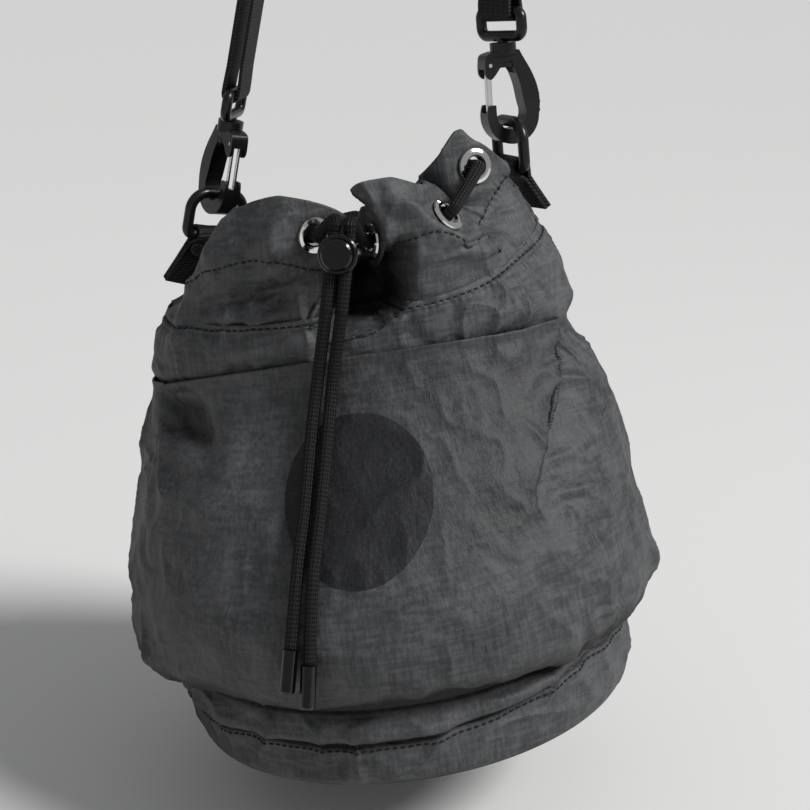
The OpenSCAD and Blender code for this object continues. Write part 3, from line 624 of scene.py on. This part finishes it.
class Finish:
    """A material's tree: places, noises, mixes and the surface."""

    def __init__(self, name, roughness, metallic=0.0, coat=0.0, specular=0.5):
        self.material = bpy.data.materials.new(name)
        self.material.use_nodes = True
        self.tree = self.material.node_tree
        self.surface = self.tree.nodes["Principled BSDF"]
        for key, v in (("Roughness", roughness), ("Metallic", metallic), ("Coat Weight", coat),
                       ("Specular IOR Level", specular)):
            self.surface.inputs[key].default_value = v

    def place(self, attribute=None, uv=False):
        if attribute:
            node = self.tree.nodes.new("ShaderNodeAttribute")
            node.attribute_name = attribute
            return node.outputs["Vector"]
        node = self.tree.nodes.new("ShaderNodeTexCoord")
        return node.outputs["UV" if uv else "Object"]

    def axes(self, place):
        node = self.tree.nodes.new("ShaderNodeSeparateXYZ")
        self.tree.links.new(place, node.inputs[0])
        return [Value(self.tree, node.outputs[i]) for i in range(3)]

    def noise(self, place, scale, detail=2.0, stretch=(1, 1, 1), rough=0.5):
        m = self.tree.nodes.new("ShaderNodeMapping")
        m.inputs["Scale"].default_value = stretch
        self.tree.links.new(place, m.inputs["Vector"])
        node = self.tree.nodes.new("ShaderNodeTexNoise")
        node.inputs["Scale"].default_value = scale
        node.inputs["Detail"].default_value = detail
        node.inputs["Roughness"].default_value = rough
        self.tree.links.new(m.outputs[0], node.inputs["Vector"])
        return Value(self.tree, node.outputs["Fac"])

    def mix(self, factor, a, b):
        node = self.tree.nodes.new("ShaderNodeMix")
        node.data_type = "RGBA"
        self.tree.links.new(factor.socket, node.inputs["Factor"])
        for key, v in ((6, a), (7, b)):
            if isinstance(v, Value):
                self.tree.links.new(v.socket, node.inputs[key])
            else:
                node.inputs[key].default_value = (*v, 1)
        return Value(self.tree, node.outputs[2])

    def set(self, key, value):
        if isinstance(value, Value):
            self.tree.links.new(value.socket, self.surface.inputs[key])
        elif isinstance(value, tuple):
            self.surface.inputs[key].default_value = (*value, 1)
        else:
            self.surface.inputs[key].default_value = value
        return self

    def bump(self, height, distance, strength=1.0):
        node = self.tree.nodes.new("ShaderNodeBump")
        node.inputs["Distance"].default_value = distance
        node.inputs["Strength"].default_value = strength
        self.tree.links.new(height.socket, node.inputs["Height"])
        self.tree.links.new(node.outputs[0], self.surface.inputs["Normal"])
        return self


def nylon(name, look=None, print_at=None):
    """Crinkled grey nylon, darkened by painted shade where its sheet marks it, with a plain dark disc printed on it
    where print_at is given.
    """
    f = Finish(name, roughness=0.58, specular=0.3)
    p = f.place("cloth")
    worn = f.noise(p, 60, 6, (1, 1, 0.45), 0.66)
    streak = f.noise(p, 34, 5, (0.5, 0.5, 1.7), 0.7)
    soft = f.noise(p, 14, 3)
    patches = (worn * 0.9 + streak * 0.7 + soft * 0.5 - 0.55).spread(0.28, 0.78)
    slub = f.noise(p, 330, 3, (0.3, 0.3, 1.7), 0.6) + f.noise(p, 360, 3, (1.7, 1.7, 0.3), 0.6)
    light = patches * 0.62 + (slub - 0.5).spread(0.38, 0.64) * 0.38
    colour = f.mix(light, (0.020, 0.021, 0.0225), (0.086, 0.0875, 0.0905))
    x, y, z = f.axes(p)
    if print_at:
        ragged = f.noise(p, 900, 2) - 0.5
        dx, dz = x - print_at[0] * MM, z - print_at[1] * MM
        far = (dx * dx + dz * dz) ** 0.5 + ragged * 0.0006
        inside = look.print_r - far > 0.0
        thin = f.noise(p, 700, 3, (1, 1, 1), 0.7).spread(0.3, 0.62)
        front = 0.0 - y > 0.0
        ink = f.mix(thin, (0.021, 0.022, 0.024), (0.009, 0.0095, 0.0105))
        colour = f.mix(inside * front, colour, ink)
    # Painted shade: the colour is drawn towards near black by the sheet's shade attribute, which marks hollows, laps,
    # the bag's foot and the front panel.
    dark = f.axes(f.place("shade"))[0]
    colour = f.mix(dark * 0.88, colour, (0.004, 0.004, 0.0045))
    f.set("Base Color", colour)
    f.set("Roughness", (light * 0.14) + 0.52)
    weave = (x * 9000).sine() * 0.25 + (z * 9000).sine() * 0.25
    crinkle = f.noise(p, 105, 6, (1, 1, 0.6), 0.58)
    f.bump(crinkle + slub * 0.2 + weave * 0.03, 0.0018, 0.62)
    return f.material


def webbing(name):
    """Black webbing with fine ribs across it."""
    f = Finish(name, roughness=0.7, specular=0.25)
    _, y, z = f.axes(f.place())
    ribs = (z * 4200).sine() * 0.5 + 0.5
    lines = (y * 2600 + (z * 4200).sine() * 0.8).sine() * 0.5 + 0.5
    f.set("Base Color", f.mix(ribs * lines, (0.003, 0.003, 0.0035), (0.013, 0.013, 0.014)))
    f.bump(ribs * 0.6 + lines * 0.5, 0.0004, 0.8)
    return f.material


def braid(name):
    """Braided black cord with pale flecks, round and along its own UV."""
    f = Finish(name, roughness=0.75, specular=0.2)
    u, v, _ = f.axes(f.place(uv=True))
    turn = u * (2 * math.pi * 6)
    a = (turn + v * 9.0).sine()
    b = (turn - v * 9.0).sine()
    ribs = (u * (2 * math.pi * 12)).sine()
    cells = (a * b) * 0.5 + 0.5
    fleck = (a * b).spread(0.62, 0.98)
    f.set("Base Color", f.mix(fleck, (0.0035, 0.0035, 0.004), (0.050, 0.050, 0.053)))
    f.bump(cells * 0.8 + ribs * 0.5, 0.0004, 0.7)
    return f.material


def plastic(name, colour, roughness, coat=0.0):
    """Moulded plastic or smooth thread, faintly scuffed."""
    f = Finish(name, roughness=roughness, coat=coat, specular=0.3)
    f.set("Base Color", colour)
    scuff = f.noise(f.place(), 260, 4, rough=0.6)
    f.set("Roughness", scuff * 0.12 + (roughness - 0.06))
    f.bump(scuff, 0.0002, 0.35)
    return f.material


def metal(name, colour, roughness):
    """Plated metal, faintly scuffed."""
    f = Finish(name, roughness=roughness, metallic=1.0)
    f.set("Base Color", colour)
    scuff = f.noise(f.place(), 500, 3)
    f.set("Roughness", scuff * 0.1 + roughness)
    return f.material


def finish_named(name):
    """A finish that the first step made."""
    return bpy.data.materials[name]


# ---- operators ----
class Build(bpy.types.Operator):
    """A step of the build"""

    bl_options = {"REGISTER"}

    def execute(self, context):
        self.build(context, Bag(context))
        return {"FINISHED"}


class BAG_OT_finishes(Build):
    """Make the finishes"""

    bl_idname = "bag.finishes"
    bl_label = "Finishes"

    # The middle of the printed disc: to the side of the front, and above the base.
    PRINT_AT = (8, 120)

    def build(self, context, bag):
        nylon("nylon_plain")
        nylon("nylon_print", context.scene.bag_cloth, self.PRINT_AT)
        webbing("webbing_black")
        braid("cord_black")
        plastic("satin_black", (0.0045, 0.0045, 0.005), 0.32, 0.1)
        plastic("gloss_black", (0.002, 0.002, 0.0024), 0.14, 0.25)
        plastic("thread_dark", (0.007, 0.0075, 0.009), 0.75)
        plastic("board_black", (0.03, 0.03, 0.032), 0.6)
        metal("nickel", (0.62, 0.61, 0.59), 0.16)
        metal("steel_wire", (0.72, 0.72, 0.72), 0.18)


class BAG_OT_body(Build):
    """Sew the body of the bag"""

    bl_idname = "bag.body"
    bl_label = "Body"

    def build(self, context, bag):
        m = np.linspace(0, 360, 600, endpoint=False)
        line = bag.outline(130)
        grid = bag.drape(m[None, :], line[:, :1], line[:, 1:])[::-1]
        normals = normals_of(grid, True)
        grid = bag.waisted(grid, m[None, :])
        # Behind the pocket the panel lies well back, so that the pocket's hollows stay clear of it.
        turn = np.abs(signed(m))[None, :]
        back = ease((95 - turn) / 7) * ease((159 - grid[..., 2]) / 14)
        grid = grid - 14 * (back * ease((grid[..., 2] - 44) / 14))[..., None] * normals
        keep = ease((grid[..., 2] - bag.band_h - 3) / 16) * ease((bag.shoulder_z + 12 - grid[..., 2]) / 10)
        hidden = np.where(turn < bag.pocket_half - 1, 0.25, 1.0)
        grid = wrinkled(grid, bag.look, keep * hidden, normals)
        # Painted shade: the sack's colour is darkened towards its foot, where the overhanging lip and the band keep
        # the light out.
        shade = 0.75 * (1 - ease((grid[..., 2] - bag.band_h - 8) / 9))
        obj = sheet_object("body_sack", bag, grid, True, 0, finish_named("nylon_plain"), shade)
        sewn_on(obj, "body_front", "body_back")


class BAG_OT_pocket(Build):
    """Sew the front pocket"""

    bl_idname = "bag.pocket"
    bl_label = "Front pocket"

    # Each crease's line in the bag's axes, its width and how far it stands out.
    CREASES = [
        ([[-92, -20, 160], [-84, -34, 150], [-72, -50, 139], [-62, -62, 132]], 2.2, 1.5),
        ([[-46, -70, 146], [-48, -74, 130], [-58, -78, 116]], 7, 2.2),
        ([[-78, -56, 120], [-58, -76, 116], [-30, -90, 112]], 8, 1.8),
        ([[-60, -92, 80], [-20, -110, 66], [30, -108, 62]], 7, 1.6),
        ([[-40, -96, 62], [-6, -108, 56], [30, -104, 54]], 5, -1.6),
        ([[92, -60, 118], [98, -52, 100], [103, -44, 84]], 4, 1.6),
        ([[84, -66, 112], [92, -62, 96], [98, -58, 78]], 3.5, -1.4),
        ([[100, -34, 130], [106, -30, 108], [110, -26, 90]], 4, 1.4),
    ]

    def build(self, context, bag):
        m = np.linspace(-bag.pocket_half, bag.pocket_half, 370)
        line = bag.outline(120, 2)
        top = np.array([[bag.shoulder_r - bag.pocket_rise * (bag.shoulder_r - bag.seam_r) / bag.yoke_h + 2.4,
                         bag.shoulder_z + bag.pocket_rise]])
        line = np.vstack([line, top])
        way = np.gradient(line, axis=0)
        way /= np.linalg.norm(way, axis=1, keepdims=True)
        line = line + (bag.pocket_gap + bag.cloth_t) * np.stack([way[:, 1], -way[:, 0]], -1)
        line = along(line[:: 4], 130)
        grid = bag.drape(m[None, :], line[:, :1], line[:, 1:])[::-1]
        ends = ease((np.abs(m) - 80) / 17)[None, :] + 0 * grid[..., 0]
        grid = bag.waisted(grid, m[None, :])
        grid = pushed(grid, -2.2 * ends, False)
        grid[..., 2] -= 5 * ends * ease((grid[..., 2] - 150) / 14)
        normals = normals_of(grid, False)
        z = grid[..., 2]
        # The side seam of the front panel: its panel laps over the side one, down to the belly.
        edge = np.interp(z, [96, 104, 112, 128, 151, 171], [45, 43, 43.5, 51, 65, 75])
        d = (m[None, :] - edge) * 1.75
        fade = ease((z - 92) / 26)
        step = ease((d + 0.8) / 3.2)
        lap = 1.3 * np.exp(-(np.minimum(d, 0) / 12) ** 2) * (1 - step)
        lap -= 4.6 * step * np.exp(-(np.maximum(d, 0) / 24) ** 2)
        depth = fade * (lap + 0.5 * np.exp(-((d + 1.8) / 0.9) ** 2))
        seam = fade * np.exp(-((d - 1.6) / 1.5) ** 2)
        # The hollow under the pocket's left corner, crossed by the other side seam.
        x = (m[None, :] + 48) * 1.7
        hollow = np.exp(-((x + 0.7 * (z - 150)) / 20) ** 4 - ((z - 149.5) / 9.5) ** 4)
        depth -= 10 * hollow
        for line, wide, deep in self.CREASES:
            depth += crease(grid, line, wide, deep)
        depth += 3.4 * np.exp(-((m[None, :] - 84) / 2.6) ** 2 - ((z - 56) / 4.5) ** 2)
        grid = grid + depth[..., None] * normals
        sides = 0.55 + 0.8 * ease((np.abs(m) - 34) / 26)[None, :]
        low = 1 + 0.8 * (1 - ease((z - 44) / 26))
        calm = 0.3 + 0.7 * ease((bag.shoulder_z + 11 - z) / 14) * ease((bag.pocket_half - np.abs(m)) / 6)[None, :]
        grid = wrinkled(grid, bag.look, calm * sides * low, normals_of(grid, False))
        # Painted shade: the colour is darkened at the pocket's foot, in the hollow under its left corner and along
        # the side seam's step.
        shade = 0.75 * (1 - ease((z - bag.band_h - 8) / 8)) + 0.7 * hollow ** 1.5 + 0.45 * seam
        # Painted shade: the front panel's colour is darkened a little against the side one, for the light that falls
        # more on the side panel.
        shade = shade + 0.3 * (1 - step) * ease((m[None, :] + 25) / 30) * ease((z - 66) / 40)
        obj = sheet_object("front_pocket_cloth", bag, grid, False, 1.0, finish_named("nylon_print"), shade)
        sewn_on(obj, "front_pocket")


class BAG_OT_yoke(Build):
    """Sew the yoke between body and collar"""

    bl_idname = "bag.yoke"
    bl_label = "Yoke"

    def build(self, context, bag):
        m = np.linspace(0, 360, 690, endpoint=False)
        t = np.linspace(-0.02, 1.06, 70)
        grid = bag.gathered(bag.yoke(m[None, :], t[:, None]), m[None, :], 1 + t[:, None])
        d = signed(m)[None, :]
        bulge = 1.6 * ease((d - 50) / 30) * np.sin(np.pi * np.clip(t, 0, 1) ** 1.6)[:, None]
        grid = pushed(grid, bulge)
        pleats = np.sin(np.radians(d * 46)) * np.exp(-((d - 24) / 12) ** 2) * np.exp(-((t[:, None] - 0.2) / 0.3) ** 2)
        grid = pushed(grid, 0.8 * pleats)
        calm = ease(np.minimum(t + 0.02, 1.06 - t) / 0.3)[:, None]
        grid = wrinkled(grid, bag.look, calm * 1.5 + 0.2)
        # The lapped seam stands proud of the yoke, drawn in along its thread.
        down = t[:, None] * bag.yoke_h
        lap = 0.7 * (1 - ease((down - 3.4) / 0.7)) - 0.55 * np.exp(-((down - 2.3) / 0.6) ** 2)
        tug = 0.25 * np.sin(np.radians(m[None, :] * 157)) * np.exp(-((down - 3.4) / 1.6) ** 2)
        grid = pushed(grid, lap + tug)
        # Painted shade: the colour is darkened in the hollow behind the cords and along the yoke's lower edge at the
        # shoulder seam.
        shade = bag.cave(m[None, :], 1 + t[:, None]) / 30 + 0.5 * ease((t - 0.93) / 0.1)[:, None]
        obj = sheet_object("yoke_cloth", bag, grid, True, 0.8, finish_named("nylon_plain"), shade)
        sewn_on(obj, "yoke")
        line = at_row(pushed(grid, 0.15), t, 2.3 / bag.yoke_h)
        thread(bag, "yoke_stitches", line)


class BAG_OT_collar(Build):
    """Sew the gathered collar, with its stitched hem and seam"""

    bl_idname = "bag.collar"
    bl_label = "Collar"

    HOLE_R, REACH = 0.0045, 0.004

    def build(self, context, bag):
        m = np.linspace(0, 360, 740, endpoint=False)
        t = np.linspace(0, 1.02, 66)
        near = bag.calm(m[None, :], t[:, None], 1.5, 6)
        grid = bag.gathered(bag.collar(m[None, :], t[:, None]), m[None, :], t[:, None], near)
        grid[..., 2] -= 5 * bump(m, 353, 15)[None, :] * (1 - ease(t / 0.16))[:, None]
        grid = wrinkled(grid, bag.look, bag.calm(m[None, :], t[:, None], 0, 7) * 1.15)
        # The hem is stitched a channel's width below the rim, and the cloth is drawn in there.
        long = np.linalg.norm(bag.rim(m) - bag.seam(m), axis=-1)
        hem = 2 * bag.eyelet_drop / long
        down = (t[:, None] - hem[None, :]) * long[None, :]
        dip = 0.6 * np.exp(-(down / 0.7) ** 2) + 0.35 * ease((down + 0.2) / 1.5)
        tug = 0.25 * np.sin(np.radians(m[None, :] * 143)) * np.exp(-(down / 2) ** 2)
        grid = pushed(grid, -(dip + tug))
        # Painted shade: the colour is darkened in the hollow behind the cords and down the valley at the front fold.
        shade = bag.cave(m[None, :], t[:, None]) / 26 + 0.8 * bump(m, 8, 17)[None, :] * ease((t - 0.1) / 0.3)[:, None]
        obj = sheet_object("collar_cloth", bag, grid, True, bag.cloth_t, finish_named("nylon_plain"),
                           np.clip(shade, 0, 1))
        self.cut_holes(obj, bag)
        sewn_on(obj, "collar")
        line = at_row(pushed(grid, 0.12), t, hem)
        thread(bag, "collar_stitches", line)

    def cut_holes(self, obj, bag):
        """Drops the faces inside each eyelet's barrel."""
        mesh = obj.data
        centres = np.empty(len(mesh.polygons) * 3)
        mesh.polygons.foreach_get("center", centres)
        centres = centres.reshape(-1, 3)
        drop = np.zeros(len(centres), bool)
        axes = np.array(bag.place)[:3, :3]
        for _, _, _, centre, normal in bag.eyelets:
            d = centres - bag.world(centre)
            axis = axes @ normal
            up = d @ axis
            drop |= (np.abs(up) < self.REACH) & (np.linalg.norm(d - up[:, None] * axis, axis=1) < self.HOLE_R)
        work = bmesh.new()
        work.from_mesh(mesh)
        work.faces.ensure_lookup_table()
        bmesh.ops.delete(work, geom=[work.faces[i] for i in np.nonzero(drop)[0]], context="FACES")
        work.to_mesh(mesh)
        work.free()


class BAG_OT_band(Build):
    """Sew the band round the base"""

    bl_idname = "bag.band"
    bl_label = "Base band"

    def build(self, context, bag):
        m = np.linspace(0, 360, 720, endpoint=False)
        z = np.concatenate([[0, 0.15, 0.7, 1.8], np.linspace(3, bag.band_h - 1.2, 64),
                            [bag.band_h - 0.4, bag.band_h + 0.1, bag.band_h + 0.2]])
        r = bag.base_r - 1.6 * ease(1 - z / 2.4) - 1.4 * ease((z - bag.band_h + 1) / 1.2)
        r[0] = bag.base_r - 3
        grid = at_angle(m[None, :], r[:, None], z[:, None] + 0 * m[None, :])[::-1]
        calm = (ease(z / 7) * ease((bag.band_h - z) / 6))[::-1, None]
        # The seam sags at the front, and the cloth above it rolls over it.
        d = signed(m)
        low = bag.band_h - 5 - 10 * ease((d + 120) / 50) * (1 - ease((d - 5) / 60))
        up = grid[..., 2] - low[None, :]
        roll = 2.0 * np.exp(-((up - 4.5) / 3.2) ** 2) - 3.2 * np.exp(-((up - 0.3) / 1.1) ** 2) - 0.8 * (up < 0)
        roll *= calm ** 0.3
        grid = wrinkled(grid, bag.look, calm * 1.6 + 0.03)
        grid = pushed(grid, roll)
        # Painted shade: the colour is darkened in the groove under the rolled seam and at the band's top, under the
        # overhanging body.
        shade = 0.7 * np.exp(-((up - 0.3) / 2) ** 2) + 0.6 * ease((grid[..., 2] - bag.band_h + 5) / 5)
        obj = sheet_object("base_band_cloth", bag, grid, True, 0, finish_named("nylon_plain"), np.clip(shade, 0, 1))
        sewn_on(obj, "base_band")
        line = at_row(pushed(grid, 0.2)[::-1], z, low - 2.4)
        thread(bag, "band_stitches", line)


class Cords:
    """Routes of the drawstring, worked out from the eyelets and the cord lock."""

    # How each end hangs: its place to the side, and its height as a part of the body's.
    ROUTES = {LEFT: [[-4.6, 0.97], [-8.6, 0.83], [-12, 0.66], [-14.5, 0.56], [-17, 0.45], [-20.8, 0.3]],
              RIGHT: [[1.8, 0.97], [-1.8, 0.83], [-5.4, 0.66], [-7.8, 0.56], [-10.2, 0.45], [-14.2, 0.25]]}

    def __init__(self, bag):
        self.bag = bag
        self.at = np.array([12, -bag.seam_r + 16, bag.seam_z + 26])
        way = np.array([-9, -5, -37.0])
        self.way = way / np.linalg.norm(way)
        axis = np.array([0, -1, 0]) + self.way[1] * self.way
        self.axis = axis / np.linalg.norm(axis)
        self.x = np.cross(-self.way, self.axis)
        self.reach = bag.lock_d / 2 + 1

    def lock_point(self, s, run):
        """A point on the left or right cord's line through the lock, run millimetres past its middle."""
        return self.at + s * self.bag.spacing * self.x + run * self.way

    def held(self):
        """The stretch through the eyelets, in and out by turns."""
        eyes = self.bag.eyelets
        ends = {-1: self.lock_point(1, -self.reach - 4), len(eyes): self.lock_point(-1, -self.reach - 4)}
        points = [self.lock_point(1, -self.reach), ends[-1]]
        for k, (_, _, _, centre, normal) in enumerate(eyes):
            s = 1 if k % 2 == 0 else -1
            for side, off in ((s, 6.2), (s, 3.4), (-s, 3.4), (-s, 6.2)):
                if off < 4:
                    points.append(centre + side * off * normal)
                    continue
                i = k + side * (-1 if k % 2 == 0 else 1)
                near = ends.get(i)
                near = eyes[i][3] if near is None else near
                d = near - centre
                d = d - (d @ normal) * normal
                points.append(centre + side * off * normal + 3 * d / np.linalg.norm(d))
        points += [ends[len(eyes)], self.lock_point(-1, -self.reach)]
        return smooth_open(points, 10)

    def free(self, s):
        """One free end, out of the lock and down the front."""
        bag = self.bag
        points = [self.lock_point(s, r) for r in (0.8 - self.reach, 0, self.reach, bag.straight - 1.5, bag.straight)]
        for x, f in self.ROUTES[s]:
            z = bag.band_h + (bag.shoulder_z - bag.band_h) * f
            up = (z - bag.belly_z) / (bag.shoulder_z - bag.belly_z)
            r = bag.shoulder_r + (bag.bulge_r - bag.shoulder_r) * math.cos(math.pi / 2 * max(up, 0))
            p = bag.drape(math.degrees(math.asin(x / bag.bulge_r)), r, z)
            points.append([x, p[1] - bag.pocket_gap - 1.4 - bag.diameter / 2 - 2, p[2]])
        return smooth_open(points, 10)


class BAG_OT_cords(Build):
    """Thread the drawstring and hang its two ends"""

    bl_idname = "bag.cords"
    bl_label = "Cords"

    def build(self, context, bag):
        cords = Cords(bag)
        black = finish_named("cord_black")
        held = tube_object("drawstring_cord", bag.world(cords.held()), bag.diameter * MM, black)
        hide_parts("drawstring")
        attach(held, "bag")
        for s, name in ((LEFT, "left"), (RIGHT, "right")):
            path = bag.world(cords.free(s))
            obj = tube_object(f"cord_{name}", path, bag.diameter * MM, black)
            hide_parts(f"cord_end_{name}")
            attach(obj, "bag")


class BAG_OT_hardware(Build):
    """Give the hard pieces and the webbing their finishes"""

    bl_idname = "bag.hardware"
    bl_label = "Hardware"

    FINISHES = {
        "nickel": ["eyelets", "eyelet_washers"],
        "steel_wire": ["left_gate", "right_gate", "cord_lock_spring"],
        "satin_black": ["left_ring", "right_ring", "left_hook", "right_hook", "left_swivel_eye",
                        "right_swivel_eye", "strap_slider"],
        "gloss_black": ["cord_lock_body", "cord_lock_button", "cord_tip_left", "cord_tip_right"],
        "webbing_black": ["strap", "left_tab", "right_tab"],
        "board_black": ["base_stiffener"],
        "nylon_plain": ["base_panel"],
    }

    def build(self, context, bag):
        for finish, names in self.FINISHES.items():
            for name in names:
                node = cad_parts[name]
                node.data.materials.clear()
                node.data.materials.append(finish_named(finish))
                for poly in node.data.polygons:
                    poly.use_smooth = finish != "webbing_black"
                node.data.set_sharp_from_angle(angle=math.radians(32))
                if finish in ("satin_black", "gloss_black"):
                    mod = node.modifiers.new("Edges", "BEVEL")
                    mod.width, mod.segments, mod.limit_method, mod.angle_limit = 0.0003, 2, "ANGLE", 0.6


class BAG_OT_stage(Build):
    """Set the floor, the light and the camera"""

    bl_idname = "bag.stage"
    bl_label = "Stage"

    def build(self, context, bag):
        s = context.scene.bag_stage
        base = Vector(bag.place.translation)
        floor_z = base.z - 0.045
        bpy.ops.mesh.primitive_plane_add(size=30, location=(0, 0, floor_z))
        floor = context.object
        floor.name = "floor"
        paint = Finish("floor_pale", roughness=0.9)
        paint.set("Base Color", (0.69, 0.687, 0.678))
        floor.data.materials.append(paint.material)
        floor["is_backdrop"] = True
        world = bpy.data.worlds.new("pale")
        context.scene.world = world
        world.use_nodes = True
        back = world.node_tree.nodes["Background"]
        back.inputs["Color"].default_value = (0.90, 0.91, 0.93, 1)
        back.inputs["Strength"].default_value = 0.36
        for name, kind, at, power in (("sun", "SUN", (0.95, -0.3, 0.92), 2.9),
                                      ("side", "AREA", (1.15, -0.3, 1.0), 5)):
            lamp = bpy.data.lights.new(name, kind)
            lamp.energy = power
            if kind == "SUN":
                lamp.angle = 0.3
            else:
                lamp.size = 0.6
            obj = added(name, lamp)
            obj.location = base + Vector((0, 0, 0.12)) + Vector(at)
            obj.rotation_euler = (-Vector(at)).to_track_quat("-Z", "Y").to_euler()
        cam = bpy.data.cameras.new("camera")
        cam.lens, cam.sensor_width, cam.clip_start, cam.clip_end = s.lens, 36, 0.02, 60
        obj = added("camera", cam)
        obj.location = base + Vector((math.sin(s.azimuth) * s.distance, -math.cos(s.azimuth) * s.distance, s.height))
        look = s.azimuth + math.radians(0.32)
        ahead = Vector((-math.sin(look) * math.cos(s.pitch), math.cos(look) * math.cos(s.pitch), -math.sin(s.pitch)))
        obj.rotation_euler = ahead.to_track_quat("-Z", "Y").to_euler()
        scene = context.scene
        scene.camera = obj
        scene.view_settings.view_transform = "Standard"


class BAG_PT_panel(bpy.types.Panel):
    """Sizes of the bag and the steps that build it"""

    bl_idname = "BAG_PT_panel"
    bl_label = "Drawstring bag"
    bl_space_type = "VIEW_3D"
    bl_region_type = "UI"
    bl_category = "Bag"

    def draw(self, context):
        for title, group in GROUPS.items():
            box = self.layout.box()
            for key in group.__annotations__:
                box.prop(getattr(context.scene, title), key)
        for step in STEPS:
            self.layout.operator(step.bl_idname)


GROUPS = {"bag_sizes": BagSizes, "bag_cords": CordSizes, "bag_cloth": ClothLook, "bag_stage": StageSettings}
STEPS = [BAG_OT_finishes, BAG_OT_body, BAG_OT_pocket, BAG_OT_yoke, BAG_OT_collar, BAG_OT_band, BAG_OT_cords,
         BAG_OT_hardware, BAG_OT_stage]


def register():
    for c in (*GROUPS.values(), *STEPS, BAG_PT_panel):
        bpy.utils.register_class(c)
    for title, group in GROUPS.items():
        setattr(bpy.types.Scene, title, PointerProperty(type=group))


def unregister():
    for title in GROUPS:
        delattr(bpy.types.Scene, title)
    for c in (BAG_PT_panel, *reversed(STEPS), *GROUPS.values()):
        bpy.utils.unregister_class(c)


def note_size(kept=None):
    kept = {} if kept is None else kept
    low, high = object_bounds()
    kept["after" if kept else "before"] = [list(low), list(high)]
    return kept


def main():
    sizes = note_size()
    register()
    for step in STEPS:
        group, name = step.bl_idname.split(".")
        getattr(getattr(bpy.ops, group), name)()
    note_size(kept=sizes)


if __name__ == "__main__":
    main()
